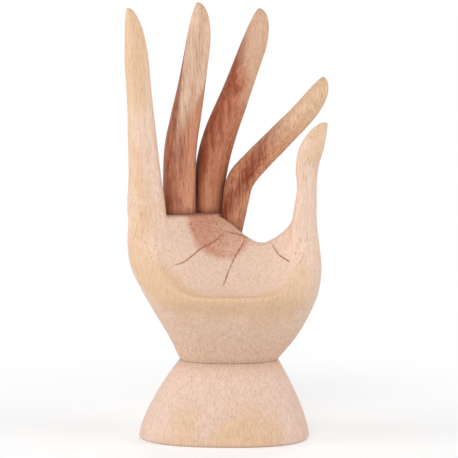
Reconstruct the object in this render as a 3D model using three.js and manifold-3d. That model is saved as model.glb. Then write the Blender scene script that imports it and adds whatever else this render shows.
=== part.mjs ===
// A carved wooden hand in a teaching gesture, standing on a flared pedestal.
// Millimetres, +Z up. The origin is the middle of the pedestal's underside, the palm faces -Y,
// and the thumb is on the +X side. The pedestal, the palm (one piece with the thumb and the
// little finger) and the three inner fingers are separate carvings, glued together on dowels.
import * as THREE from "three";
import { mergeVertices } from "three/addons/utils/BufferGeometryUtils.js";
import Module from "manifold-3d";

const wasm = await Module();
wasm.setup();

// Driving dimensions

const GLUE_GAP = 0.3; // film of glue between two pieces, all round
const BOW = 2.4; // how square the pedestal and the palm are in plan: 2 is an ellipse

const BASE = {
  width: 91,
  depth: 65,
  height: 42,
  foot: 1.6, // height and inset of the eased lower edge
  flare: 1.45, // 1 gives straight sides, more bulges them
  turn: -4, // degrees that the foot is turned under the hand
};

const WRIST = { width: 52, depth: 34, shift: 2.6 };
const WRIST_DOWEL = { diameter: 8, length: 34, chamfer: 1, spacing: 24 };
const FINGER_DOWEL = { diameter: 5, length: 24, chamfer: 0.8 };
const DOWEL_END_ROOM = 0.6; // space for glue at each end of a dowel's hole

// The palm's outer form above the wrist joint: how far it reaches to each side at each height,
// and how far its two edges are curled forward.
const HEEL_HEIGHT = 37;
const RIM_HEIGHT = 76.5;
const FLANKS = [
  { height: 12.5, left: 29.3, right: 38.6, front: 23.5, back: 18.6, curl: 1 },
  { height: 25.5, left: 36.7, right: 45.7, front: 29.8, back: 20.2, curl: 3 },
  { height: HEEL_HEIGHT, left: 43, right: 50, front: 34.5, back: 21, curl: 5 },
  { height: 50, left: 49, right: 51.4, front: 32, back: 20.6, curl: 7 },
  { height: 62, left: 50.7, right: 50.2, front: 26, back: 18.8, curl: 8.5 },
  { height: RIM_HEIGHT, left: 50.3, right: 48.2, front: 17, back: 15.6, curl: 10 },
];

// The cup that is hollowed out of the palm, from the heel up to the roots of the fingers.
const CUP = { width: 76, wall: 30, middle: 2, back: 1.5, sweep: 0.8, lip: 5 };

// The web between the index finger and the thumb: its edge seen from the front, at one depth,
// with heights measured from the palm's rim.
// Behind that depth the gap opens towards the thumb and falls, by so much for each millimetre.
const WEB = {
  edge: [[-2.5, 1.5], [4.5, -4.5], [12, -11.5], [20, -14.9], [29.5, -9.7], [35, -2], [38, 13.5]],
  depth: -4,
  drift: 0.6,
  fall: 0.3,
  above: 60, // height and reach of what is cut away, past the palm on every side
  reach: 40,
};

// Fingers. Each station gives the middle of the section and its size across and front to back.
// The tip narrows towards the nail side; pad is the direction that the fingertip's pad faces,
// in degrees from straight ahead (-Y) towards the thumb (+X), and turn is how far the section
// is turned about the finger's own line.
const FINGER_BOW = 2.6;
const TIP_BOW = 2.3; // how blunt the fingertips are: 2 rounds them as an ellipse
const TIP_OFFSET = 0.36; // share of the finger's size that the tip lies off its line
const FINGER_ROOT_GAP = 0.7; // between the roots of neighbouring fingers
const SEAT_DEPTH = 1; // how far a finger's root is let into the palm's rim

// The little finger's stations are measured from the left end of the palm's rim.
const LITTLE_FINGER = {
  stations: [
    { at: [14.3, -9, -32.5], across: 14, deep: 22 },
    { at: [10, -8, -0.5], across: 19.8, deep: 23 },
    { at: [8.5, -5.5, 23.5], across: 16.4, deep: 17 },
    { at: [6.1, -5, 61.5], across: 13.2, deep: 13 },
    { at: [4.6, -6.5, 83.5], across: 12.2, deep: 11.5 },
    { at: [3.3, -9.5, 109.5], across: 9.6, deep: 9 },
  ],
  tip: 27,
  pad: 75,
  turn: 12,
};

// The thumb's stations are measured from the right end of the palm's rim.
const THUMB = {
  stations: [
    { at: [-10.2, -11, -34.5], across: 14, deep: 22 },
    { at: [-7, -10, -1.5], across: 13.4, deep: 19 },
    { at: [-5.2, -10.5, 14.5], across: 10.4, deep: 13.5 },
    { at: [-4.6, -11.5, 27.5], across: 11.6, deep: 12 },
    { at: [-1.8, -13, 38.5], across: 12.2, deep: 11 },
    { at: [2.6, -15, 51], across: 9, deep: 8 },
  ],
  tip: 20,
  pad: -75,
  turn: -14,
};

// The inner fingers' stations are measured from the middle of their own seat.
const RING_FINGER = {
  left: -32.4, // left edge of the root
  front: 0, // front face of the root
  seat: RIM_HEIGHT - SEAT_DEPTH,
  stations: [
    { at: [0, 0, 0], across: 17, deep: 15.4 },
    { at: [0.5, 1.6, 32], across: 17.2, deep: 15 },
    { at: [3.6, 1.6, 52], across: 15.6, deep: 13.8 },
    { at: [8.1, 0, 77], across: 13.6, deep: 12.2 },
    { at: [13.4, -5, 112.4], across: 11.4, deep: 9.6 },
  ],
  tip: 24,
  pad: 55,
  turn: 10,
};

const MIDDLE_FINGER = {
  front: 3.6,
  seat: RIM_HEIGHT - SEAT_DEPTH,
  stations: [
    { at: [0, 0, 0], across: 13, deep: 14.4 },
    { at: [1.5, 1.5, 22], across: 14.2, deep: 14.4 },
    { at: [5.7, 2.4, 41.5], across: 15, deep: 14 },
    { at: [14, 2, 64], across: 14, deep: 13 },
    { at: [23.4, -0.5, 89], across: 12.6, deep: 12 },
    { at: [30.2, -3.5, 108.4], across: 11.4, deep: 10.4 },
  ],
  tip: 21,
  pad: 55,
  turn: 24,
};

const INDEX_FINGER = {
  front: 3,
  seat: RIM_HEIGHT - 9.5,
  stations: [
    { at: [0, 0, 0], across: 10.6, deep: 13.4 },
    { at: [2, 1, 15], across: 11.6, deep: 13.4 },
    { at: [5.2, 1.4, 27], across: 12.8, deep: 13.4 },
    { at: [13, 0.5, 37.4], across: 12.8, deep: 13 },
    { at: [24.8, -3, 49.8], across: 12.2, deep: 12.4 },
    { at: [38, -7.5, 63.8], across: 11.6, deep: 11.4 },
    { at: [50.6, -12, 80.4], across: 10.4, deep: 9.8 },
  ],
  tip: 18,
  pad: 60,
  turn: 20,
};

// How finely the curved forms are divided
const PLAN_SIDES = 48;
const PALM_RINGS = 24;
const BASE_RINGS = 10;
const FINGER_SIDES = 18;
const FINGER_STEP = 6.5;
const TIP_RINGS = 6;
const DOWEL_SIDES = 16;
const WEB_STEPS = 20;

// Solids and geometry

/** Closed geometry as a solid that can be joined and cut. */
function solidOf(geometry) {
  const bare = geometry.index ? geometry.toNonIndexed() : geometry.clone();
  bare.deleteAttribute("normal");
  bare.deleteAttribute("uv");
  const merged = mergeVertices(bare, 1e-4);
  return new wasm.Manifold(
    new wasm.Mesh({
      numProp: 3,
      vertProperties: new Float32Array(merged.attributes.position.array),
      triVerts: new Uint32Array(merged.index.array),
    }),
  );
}

/** A solid as geometry for a mesh. */
function geometryOf(solid) {
  const { vertProperties, triVerts } = solid.getMesh();
  const geometry = new THREE.BufferGeometry();
  geometry.setAttribute("position", new THREE.BufferAttribute(vertProperties, 3));
  geometry.setIndex(new THREE.BufferAttribute(triVerts, 1));
  geometry.computeVertexNormals();
  return geometry;
}

/** Skins a row of sections, each a flat outline and the matrix that places it, and closes the ends. */
function loft(sections) {
  const sides = sections[0].outline.length;
  const positions = [];
  const triangles = [];
  for (const { outline, frame } of sections) {
    for (const p of outline) {
      positions.push(...new THREE.Vector3(p.x, p.y, 0).applyMatrix4(frame).toArray());
    }
  }
  for (let ring = 0; ring + 1 < sections.length; ring++) {
    for (let side = 0; side < sides; side++) {
      const a = ring * sides + side;
      const b = ring * sides + ((side + 1) % sides);
      triangles.push(a, b, b + sides, a, b + sides, a + sides);
    }
  }
  const last = (sections.length - 1) * sides;
  for (const [a, b, c] of THREE.ShapeUtils.triangulateShape(sections[0].outline, [])) {
    triangles.push(a, c, b);
  }
  for (const [a, b, c] of THREE.ShapeUtils.triangulateShape(sections.at(-1).outline, [])) {
    triangles.push(last + a, last + b, last + c);
  }
  const geometry = new THREE.BufferGeometry();
  geometry.setAttribute("position", new THREE.Float32BufferAttribute(positions, 3));
  geometry.setIndex(triangles);
  return geometry;
}

/** The share of its half width that a rounded oval keeps at a given share of its other half width. */
function bowed(share, power) {
  return Math.max(0, 1 - Math.abs(share) ** power) ** (1 / power);
}

/** A rounded oval, anticlockwise. */
function oval(width, depth, power, sides) {
  return Array.from({ length: sides }, (_, i) => {
    const turn = (2 * Math.PI * i) / sides;
    const reach = (Math.abs(Math.cos(turn)) ** power + Math.abs(Math.sin(turn)) ** power) ** (-1 / power);
    return new THREE.Vector2((width / 2) * reach * Math.cos(turn), (depth / 2) * reach * Math.sin(turn));
  });
}

/** A smooth line through values given at heights. */
function valueAt(stations, key, height) {
  const line = new THREE.SplineCurve(stations.map((s) => new THREE.Vector2(s.height, s[key])));
  let low = 0;
  let high = 1;
  for (let i = 0; i < 30; i++) {
    const middle = (low + high) / 2;
    if (line.getPoint(middle).x < height) low = middle;
    else high = middle;
  }
  return line.getPoint(low).y;
}

/** A dowel or the hole for one, upright and centred on the joint. */
function dowelGeometry({ diameter, length, chamfer }, room = 0, endRoom = 0) {
  const radius = diameter / 2 + room;
  const half = length / 2 + endRoom;
  const profile = [
    [0, -half],
    [radius - chamfer, -half],
    [radius, chamfer - half],
    [radius, half - chamfer],
    [radius - chamfer, half],
    [0, half],
  ].map(([x, y]) => new THREE.Vector2(x, y));
  return new THREE.LatheGeometry(profile, DOWEL_SIDES).rotateX(Math.PI / 2);
}

/** The hole for a dowel whose middle is at a point. */
function dowelHole(dowel, at) {
  return solidOf(dowelGeometry(dowel, GLUE_GAP, DOWEL_END_ROOM).translate(...at));
}

// Pedestal

/** The two dowels' places across the wrist joint. */
const wristDowelsX = [-1, 1].map((side) => WRIST.shift + (side * WRIST_DOWEL.spacing) / 2);

function pedestal() {
  const heights = [0, BASE.foot / 3, BASE.foot];
  for (let i = 1; i <= BASE_RINGS; i++) {
    heights.push(BASE.foot + ((BASE.height - BASE.foot) * i) / BASE_RINGS);
  }
  const sections = heights.map((z) => {
    const down = 1 - z / BASE.height;
    const spread = 1 - (1 - down) ** BASE.flare;
    const under = Math.max(0, 1 - z / BASE.foot);
    const eased = 2 * BASE.foot * (1 - Math.sqrt(1 - under ** 2));
    const width = THREE.MathUtils.lerp(WRIST.width, BASE.width, spread) - eased;
    const depth = THREE.MathUtils.lerp(WRIST.depth, BASE.depth, spread) - eased;
    const frame = new THREE.Matrix4().makeRotationZ(THREE.MathUtils.degToRad(BASE.turn) * spread);
    frame.setPosition(WRIST.shift * (1 - spread), 0, z);
    return { outline: oval(width, depth, BOW, PLAN_SIDES), frame };
  });
  let body = solidOf(loft(sections));
  for (const x of wristDowelsX) body = body.subtract(dowelHole(WRIST_DOWEL, [x, 0, BASE.height]));
  return geometryOf(body);
}

// Fingers

/** A finger's solid along its stations, larger all round by grow and longer at the root by it. */
function fingerSolid({ stations, tip, pad, turn }, grow = 0) {
  const path = new THREE.CatmullRomCurve3(stations.map((s) => new THREE.Vector3(...s.at)));
  const girth = new THREE.SplineCurve(stations.map((s) => new THREE.Vector2(s.across, s.deep)));
  const length = path.getLength();
  const shaftRings = Math.round((length - tip) / FINGER_STEP);
  const shares = Array.from({ length: shaftRings }, (_, i) => (i / shaftRings) * (1 - tip / length));
  for (let i = 0; i < TIP_RINGS; i++) {
    shares.push(1 - (tip / length) * Math.cos((i / TIP_RINGS) * (Math.PI / 2)));
  }
  shares.push(1 - 0.002);
  const ahead = THREE.MathUtils.degToRad(pad);
  const spin = THREE.MathUtils.degToRad(turn);
  const sections = shares.map((share) => {
    const t = path.getUtoTmapping(share);
    const along = share === 0 ? new THREE.Vector3(0, 0, 1) : path.getTangent(t);
    const back = new THREE.Vector3(0, 1, 0).addScaledVector(along, -along.y).normalize();
    const right = new THREE.Vector3().crossVectors(back, along);
    const { x: across, y: deep } = girth.getPoint(t);
    const left = Math.min(1, ((1 - share) * length) / tip);
    const shrink = bowed(1 - left, TIP_BOW);
    const nail = new THREE.Vector2(-Math.sin(ahead) * across, Math.cos(ahead) * deep);
    nail.multiplyScalar(TIP_OFFSET);
    const outline = oval(across + 2 * grow, deep + 2 * grow, FINGER_BOW, FINGER_SIDES).map((p) =>
      p.rotateAround(new THREE.Vector2(), spin).sub(nail).multiplyScalar(shrink).add(nail),
    );
    const frame = new THREE.Matrix4().makeBasis(right, back, along);
    return { outline, frame: frame.setPosition(path.getPoint(t)) };
  });
  if (grow > 0) {
    const below = { outline: sections[0].outline, frame: sections[0].frame.clone() };
    below.frame.setPosition(new THREE.Vector3(...stations[0].at).add(new THREE.Vector3(0, 0, -grow)));
    sections.unshift(below);
  }
  return solidOf(loft(sections));
}

/** The seats of the inner fingers on the palm, from the ring finger towards the thumb. */
function placeSeats(fingers) {
  let left = fingers[0].left;
  return fingers.map((finger) => {
    const { across, deep } = finger.stations[0];
    const seat = new THREE.Vector3(left + across / 2, finger.front + deep / 2, finger.seat);
    left += across + FINGER_ROOT_GAP;
    return seat;
  });
}

const innerFingers = [RING_FINGER, MIDDLE_FINGER, INDEX_FINGER];
const seats = placeSeats(innerFingers);

/** An inner finger in its seat's frame, clear of the neighbours that were placed before it. */
function innerFinger(index) {
  let body = fingerSolid(innerFingers[index]);
  for (let i = 0; i < index; i++) {
    const offset = seats[i].clone().sub(seats[index]);
    body = body.subtract(fingerSolid(innerFingers[i], GLUE_GAP).translate(offset.toArray()));
  }
  return geometryOf(body.subtract(dowelHole(FINGER_DOWEL, [0, 0, 0])));
}

// Palm

/** How far back the cup's floor lies at a height above the wrist and a place across. */
function cupFloor(x, height, heelFront) {
  const climb = Math.max(0, (height - HEEL_HEIGHT) / (RIM_HEIGHT - HEEL_HEIGHT));
  const middle = -heelFront + (heelFront + CUP.back) * climb ** CUP.sweep;
  return middle - CUP.wall * ((2 * (x - CUP.middle)) / CUP.width) ** 4;
}

/** The larger of two depths, rounded where they cross. */
function softMax(a, b, radius) {
  const blend = Math.max(0, radius - Math.abs(a - b)) / radius;
  return Math.max(a, b) + (blend * blend * radius) / 4;
}

function palmSection(height) {
  const wrist = {
    height: 0,
    left: WRIST.width / 2 - WRIST.shift,
    right: WRIST.width / 2 + WRIST.shift,
    front: WRIST.depth / 2,
    back: WRIST.depth / 2,
    curl: 0,
  };
  const stations = [wrist, ...FLANKS];
  const keys = ["left", "right", "front", "back", "curl"];
  const [left, right, front, back, curl] = keys.map((key) => valueAt(stations, key, height));
  const heelFront = valueAt(stations, "front", HEEL_HEIGHT);
  const outline = Array.from({ length: PLAN_SIDES }, (_, i) => {
    const turn = (2 * Math.PI * i) / PLAN_SIDES;
    const share = Math.cos(turn);
    const x = (right - left) / 2 + ((right + left) / 2) * share;
    const forward = curl * share ** 2;
    if (i <= PLAN_SIDES / 2) return new THREE.Vector2(x, back * bowed(share, BOW) - forward);
    const outer = -front * bowed(share, BOW) - forward;
    if (height <= HEEL_HEIGHT) return new THREE.Vector2(x, outer);
    const hollow = softMax(outer, cupFloor(x, height, heelFront), CUP.lip);
    const open = Math.min(1, (height - HEEL_HEIGHT) / CUP.lip);
    const ends = Math.min(1, 6 * bowed(share, 2));
    return new THREE.Vector2(x, THREE.MathUtils.lerp(outer, hollow, open * ends));
  });
  return { outline, frame: new THREE.Matrix4().makeTranslation(0, 0, height) };
}

/** The outline of the gap above the web, a distance behind the depth that its edge is given at. */
function webOutline(behind) {
  const edge = new THREE.SplineCurve(WEB.edge.map(([x, z]) => new THREE.Vector2(x, z))).getPoints(WEB_STEPS);
  const left = edge[0].x;
  const width = edge.at(-1).x - left;
  const moved = edge.map((p) => {
    const drift = (WEB.drift * behind * (p.x - left)) / width;
    return new THREE.Vector2(p.x + drift, RIM_HEIGHT + p.y - WEB.fall * behind);
  });
  const top = RIM_HEIGHT + WEB.above;
  return [...moved, new THREE.Vector2(moved.at(-1).x, top), new THREE.Vector2(left, top)];
}

/** What is cut away above the web between the index finger and the thumb, from back to front. */
function webGap() {
  const sections = [WEB.reach, 0, -WEB.reach].map((behind) => {
    const frame = new THREE.Matrix4().makeRotationX(Math.PI / 2);
    return { outline: webOutline(Math.max(0, behind)), frame: frame.setPosition(0, WEB.depth + behind, 0) };
  });
  return solidOf(loft(sections));
}

function palm() {
  const heights = Array.from({ length: PALM_RINGS + 1 }, (_, i) => (RIM_HEIGHT * i) / PALM_RINGS);
  let body = solidOf(loft(heights.map(palmSection))).subtract(webGap());
  const rim = FLANKS.at(-1);
  body = body.add(fingerSolid(LITTLE_FINGER).translate([-rim.left, 0, rim.height]));
  body = body.add(fingerSolid(THUMB).translate([rim.right, 0, rim.height]));
  innerFingers.forEach((finger, i) => {
    const at = seats[i].toArray();
    body = body.subtract(fingerSolid(finger, GLUE_GAP).translate(at)).subtract(dowelHole(FINGER_DOWEL, at));
  });
  for (const x of wristDowelsX) body = body.subtract(dowelHole(WRIST_DOWEL, [x, 0, -GLUE_GAP]));
  return geometryOf(body);
}

// Assembly

const paleWood = new THREE.MeshStandardMaterial({ color: 0xe3c4a3, roughness: 0.62, metalness: 0 });
const redWood = new THREE.MeshStandardMaterial({ color: 0xb57a58, roughness: 0.6, metalness: 0 });
const dowelWood = new THREE.MeshStandardMaterial({ color: 0xd9b98c, roughness: 0.7, metalness: 0 });

function piece(name, geometry, material) {
  const mesh = new THREE.Mesh(geometry, material);
  mesh.name = name;
  return mesh;
}

const carving = new THREE.Group();
carving.add(piece("pedestal", pedestal(), paleWood));
["wrist_dowel_left", "wrist_dowel_right"].forEach((name, i) => {
  const dowel = piece(name, dowelGeometry(WRIST_DOWEL), dowelWood);
  dowel.position.set(wristDowelsX[i], 0, BASE.height);
  carving.add(dowel);
});

const hand = new THREE.Group();
hand.position.z = BASE.height + GLUE_GAP;
carving.add(hand);
hand.add(piece("palm", palm(), paleWood));

["ring", "middle", "index"].forEach((name, i) => {
  const seat = new THREE.Group();
  seat.position.copy(seats[i]);
  seat.add(piece(`${name}_finger`, innerFinger(i), redWood));
  seat.add(piece(`${name}_finger_dowel`, dowelGeometry(FINGER_DOWEL), dowelWood));
  hand.add(seat);
});

export default carving;
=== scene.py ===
"""A carved wooden hand in a teaching gesture, standing on a flared pedestal.

Sizes and places are in millimetres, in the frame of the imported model: +Z up, the palm facing -Y,
the thumb on the +X side and the origin in the middle of the pedestal's underside. Each finished
mesh is scaled to metres.
"""

import logging
import math
from abc import ABC, abstractmethod
from collections.abc import Iterable, Iterator, Mapping, Sequence
from contextlib import contextmanager
from dataclasses import dataclass, field, replace
from enum import Enum
from functools import cache
from typing import Any, ClassVar

import bmesh
import bpy
from mathutils import Matrix, Vector
from mathutils.bvhtree import BVHTree
from mathutils.kdtree import KDTree


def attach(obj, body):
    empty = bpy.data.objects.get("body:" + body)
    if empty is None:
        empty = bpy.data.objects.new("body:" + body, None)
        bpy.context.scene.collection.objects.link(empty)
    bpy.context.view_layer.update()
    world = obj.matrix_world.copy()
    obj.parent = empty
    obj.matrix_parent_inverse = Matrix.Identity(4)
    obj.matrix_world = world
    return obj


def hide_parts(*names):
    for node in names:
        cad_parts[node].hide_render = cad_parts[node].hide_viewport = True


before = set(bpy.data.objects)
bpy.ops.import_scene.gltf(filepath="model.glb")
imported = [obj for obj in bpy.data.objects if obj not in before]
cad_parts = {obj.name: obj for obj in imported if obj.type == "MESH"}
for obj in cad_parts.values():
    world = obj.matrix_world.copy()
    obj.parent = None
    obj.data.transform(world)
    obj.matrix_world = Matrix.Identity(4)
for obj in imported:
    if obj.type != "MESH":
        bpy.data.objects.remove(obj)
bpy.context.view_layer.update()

MM = 0.001
BODY = "root"
UP = (0.0, 0.0, 1.0)
BACK = (0.0, 1.0, 0.0)
WHITE = (1.0, 1.0, 1.0, 1.0)
log = logging.getLogger("carved_hand")

Mesh = bpy.types.Mesh
Material = bpy.types.Material
Object = bpy.types.Object
Tree = bpy.types.NodeTree
Triple = tuple[float, float, float]
Colour = tuple[float, float, float, float]
Value = Any
Inputs = Mapping[str | int, Value]


class Slot(Enum):
    """The record's material slots."""

    PALE = "pale_wood"
    HEART = "heart_wood"


# Node trees


@dataclass(frozen=True)
class Wire:
    """An output in a node tree. Arithmetic on it adds the nodes that work the result out."""

    graph: "Graph"
    socket: bpy.types.NodeSocket

    def __add__(self, other: Value) -> "Wire":
        """Gives the sum with a value."""
        return self.graph.joined("ADD", self, other)

    def __sub__(self, other: Value) -> "Wire":
        """Gives the output less a value."""
        return self.graph.joined("SUBTRACT", self, other)

    def __rsub__(self, other: Value) -> "Wire":
        """Gives a constant less the output."""
        return self.graph.joined("SUBTRACT", other, self)

    def __mul__(self, other: Value) -> "Wire":
        """Gives the product with a value."""
        return self.graph.joined("MULTIPLY", self, other)

    def __truediv__(self, other: Value) -> "Wire":
        """Gives the output divided by a value."""
        return self.graph.joined("DIVIDE", self, other)

    def __rtruediv__(self, other: Value) -> "Wire":
        """Gives a constant divided by the output."""
        return self.graph.joined("DIVIDE", other, self)

    def __pow__(self, other: Value) -> "Wire":
        """Gives a power of the output."""
        return self.graph.joined("POWER", self, other)


def is_vector(value: Value) -> bool:
    """Tells whether a value in a node tree has three numbers.

    Args:
        value: a wire or a constant.

    Returns:
        True for a vector or a colour.
    """
    if isinstance(value, Wire):
        return value.socket.type in ("VECTOR", "RGBA")
    return isinstance(value, tuple)


class Graph:
    """A node tree under construction, with short calls for its usual nodes.

    A value is a wire or a constant.
    """

    def __init__(self, tree: Tree) -> None:
        """Starts on an empty tree."""
        self.tree = tree

    def add(self, kind: str, inputs: Inputs | None = None, **settings: Any) -> bpy.types.Node:
        """Adds a node.

        Args:
            kind: the node's type name.
            inputs: the value of each input, by its name or its number.
            settings: the node's own properties.

        Returns:
            The new node.
        """
        node = self.tree.nodes.new(kind)
        for name, setting in settings.items():
            setattr(node, name, setting)
        for key, value in (inputs or {}).items():
            if isinstance(value, Wire):
                self.tree.links.new(value.socket, node.inputs[key])
            else:
                node.inputs[key].default_value = value
        return node

    def out(
        self, kind: str, inputs: Inputs | None = None, output: str | int = 0, **settings: Any
    ) -> Wire:
        """Adds a node as add does, and gives one of its outputs."""
        return Wire(self, self.add(kind, inputs, **settings).outputs[output])

    def math(self, operation: str, *values: Value) -> Wire:
        """Gives the result of a Math node."""
        return self.out("ShaderNodeMath", dict(enumerate(values)), operation=operation)

    def vector(self, operation: str, *values: Value) -> Wire:
        """Adds a Vector Math node.

        Args:
            operation: what it does.
            values: its inputs in order.

        Returns:
            Its result, a number or a vector.
        """
        result = "Value" if operation in ("DOT_PRODUCT", "LENGTH") else "Vector"
        inputs = dict(enumerate(values))
        return self.out("ShaderNodeVectorMath", inputs, result, operation=operation)

    def joined(self, operation: str, first: Value, second: Value) -> Wire:
        """Joins two values by arithmetic, where a number scales a vector.

        Args:
            operation: the Math node's name for it.
            first: the value on the left.
            second: the value on the right.

        Returns:
            The result.
        """
        if not is_vector(first) and not is_vector(second):
            return self.math(operation, first, second)
        if is_vector(second):
            return self.vector(operation, first, second)
        inputs = {0: first, "Scale": second}
        return self.out("ShaderNodeVectorMath", inputs, "Vector", operation="SCALE")

    def larger(self, first: Value, second: Value) -> Wire:
        """Gives the larger of two numbers."""
        return self.math("MAXIMUM", first, second)

    def smaller(self, first: Value, second: Value) -> Wire:
        """Gives the smaller of two numbers."""
        return self.math("MINIMUM", first, second)

    def combined(self, x: Value, y: Value, z: Value) -> Wire:
        """Gives a vector from its three numbers."""
        return self.out("ShaderNodeCombineXYZ", {0: x, 1: y, 2: z})

    def distance(self, x: Value, y: Value) -> Wire:
        """Gives the length of a flat step."""
        return self.vector("LENGTH", self.combined(x, y, 0.0))

    def split(self, vector: Value) -> tuple[Wire, Wire, Wire]:
        """Gives a vector's three numbers."""
        outputs = self.add("ShaderNodeSeparateXYZ", {0: vector}).outputs
        return Wire(self, outputs[0]), Wire(self, outputs[1]), Wire(self, outputs[2])

    def ramp(
        self, value: Value, low: Value, high: Value, to_low: Value = 0.0, to_high: Value = 1.0
    ) -> Wire:
        """Maps a range smoothly to another.

        Args:
            value: the number to map.
            low: where the smooth step starts.
            high: where it ends.
            to_low: the result at and before its start.
            to_high: the result at and after its end.

        Returns:
            The mapped number.
        """
        start = {"Value": value, "From Min": low, "From Max": high}
        ends = {"To Min": to_low, "To Max": to_high}
        return self.out("ShaderNodeMapRange", start | ends, interpolation_type="SMOOTHSTEP")

    def mix(self, share: Value, first: Value, second: Value) -> Wire:
        """Gives a colour between two, by the second one's share."""
        inputs = {"Factor": share, 6: first, 7: second}
        return self.out("ShaderNodeMix", inputs, 2, data_type="RGBA", clamp_factor=True)


class ShaderGraph(Graph):
    """The shader tree of a material or a world."""

    def __init__(self, block: Material | bpy.types.World) -> None:
        """Empties the block's tree and starts on it.

        Args:
            block: the material or the world.
        """
        block.use_nodes = True
        block.node_tree.nodes.clear()
        super().__init__(block.node_tree)


class GeometryGraph(Graph):
    """A Geometry Nodes tree with named inputs, which takes and gives one geometry."""

    def __init__(self, name: str, inputs: Mapping[str, Iterable[str]]) -> None:
        """Makes the tree.

        Args:
            name: the tree's name.
            inputs: the names of its inputs, by their type.
        """
        super().__init__(bpy.data.node_groups.new(name, "GeometryNodeTree"))
        sockets = self.tree.interface
        for kind, labels in {"Geometry": ["Geometry"], **inputs, "Material": ["Material"]}.items():
            for label in labels:
                sockets.new_socket(label, in_out="INPUT", socket_type=f"NodeSocket{kind}")
        sockets.new_socket("Geometry", in_out="OUTPUT", socket_type="NodeSocketGeometry")
        self.given = {s.name: Wire(self, s) for s in self.add("NodeGroupInput").outputs}

    def attribute(self, name: str) -> Wire:
        """Gives a named vector of the geometry."""
        kind = "GeometryNodeInputNamedAttribute"
        return self.out(kind, {"Name": name}, data_type="FLOAT_VECTOR")

    def moved(self, geometry: Wire, **inputs: Value) -> Wire:
        """Moves a geometry's points to a position or by an offset."""
        return self.out("GeometryNodeSetPosition", {"Geometry": geometry} | inputs)

    def finish(self, geometry: Wire) -> Tree:
        """Ends the tree in real, smooth, dressed geometry.

        Args:
            geometry: what the tree has made.

        Returns:
            The finished tree.
        """
        smooth = self.out("GeometryNodeSetShadeSmooth", {"Geometry": geometry})
        real = self.out("GeometryNodeRealizeInstances", {"Geometry": smooth})
        dress = {"Geometry": real, "Material": self.given["Material"]}
        self.add("NodeGroupOutput", {0: self.out("GeometryNodeSetMaterial", dress)})
        return self.tree


# Meshes


def placed(name: str, data: bpy.types.ID) -> Object:
    """Puts a mesh, a light or a camera into the scene.

    Args:
        name: the name of its object.
        data: the mesh, light or camera.

    Returns:
        The object.
    """
    thing = bpy.data.objects.new(name, data)
    bpy.context.scene.collection.objects.link(thing)
    return thing


def run_tree(source: Mesh, tree: Tree, inputs: Mapping[str, Value]) -> Mesh:
    """Runs a Geometry Nodes tree on a mesh.

    Args:
        source: the mesh that the tree starts from.
        tree: the tree.
        inputs: the values of its named inputs.

    Returns:
        The result as a plain mesh.
    """
    holder = placed("holder", source)
    modifier = holder.modifiers.new("shape", "NODES")
    modifier.node_group = tree
    for item in tree.interface.items_tree:
        if item.in_out == "INPUT" and item.name in inputs:
            modifier[item.identifier] = inputs[item.name]
    evaluated = holder.evaluated_get(bpy.context.evaluated_depsgraph_get())
    result = bpy.data.meshes.new_from_object(evaluated)
    holder.modifiers.remove(modifier)
    bpy.data.objects.remove(holder)
    return result


@contextmanager
def reworked(mesh: Mesh) -> Iterator[bmesh.types.BMesh]:
    """Opens a mesh for editing, and writes it back.

    Args:
        mesh: the mesh.

    Yields:
        The form to edit.
    """
    form = bmesh.new()
    form.from_mesh(mesh)
    yield form
    form.to_mesh(mesh)
    form.free()


def merged(meshes: Iterable[Mesh]) -> Mesh:
    """Puts several meshes into one.

    Args:
        meshes: the meshes.

    Returns:
        A new mesh with all of them.
    """
    whole = bpy.data.meshes.new("forms")
    with reworked(whole) as form:
        for mesh in meshes:
            form.from_mesh(mesh)
    return whole


def loft(rings: Sequence[Sequence[Vector]]) -> Mesh:
    """Skins closed outlines that follow each other, and closes both ends.

    Args:
        rings: the outlines, with as many points in each.

    Returns:
        The closed mesh.
    """
    sides = len(rings[0])
    faces: list[tuple[int, ...]] = []
    for ring in range(len(rings) - 1):
        for side in range(sides):
            a = ring * sides + side
            b = ring * sides + (side + 1) % sides
            faces.append((a, b, b + sides, a + sides))
    faces.append(tuple(reversed(range(sides))))
    last = (len(rings) - 1) * sides
    faces.append(tuple(range(last, last + sides)))
    mesh = bpy.data.meshes.new("form")
    mesh.from_pydata([p for ring in rings for p in ring], [], faces)
    with reworked(mesh) as form:
        bmesh.ops.recalc_face_normals(form, faces=form.faces)
    return mesh


def smooth_value(points: Sequence[tuple[float, float]], at: float) -> float:
    """Reads a smooth line through points.

    Args:
        points: places and values, in order of place.
        at: the place to read.

    Returns:
        The value there, on a cubic between the two neighbouring points.
    """
    at = min(max(at, points[0][0]), points[-1][0])
    i = max(k for k in range(len(points) - 1) if points[k][0] <= at)
    (x0, y0), (x1, y1) = points[i], points[i + 1]
    before = points[max(i - 1, 0)]
    after = points[min(i + 2, len(points) - 1)]
    slope0 = (y1 - before[1]) / (x1 - before[0])
    slope1 = (after[1] - y0) / (after[0] - x0)
    t = (at - x0) / (x1 - x0)
    rise = (2 * t**3 - 3 * t**2 + 1) * y0 + (3 * t**2 - 2 * t**3) * y1
    return rise + (x1 - x0) * ((t**3 - 2 * t**2 + t) * slope0 + (t**3 - t**2) * slope1)


def bowed(share: float, power: float) -> float:
    """Gives the share of its half depth that a rounded oval keeps at a share of its half width."""
    return max(0.0, 1 - abs(share) ** power) ** (1 / power)


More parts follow.
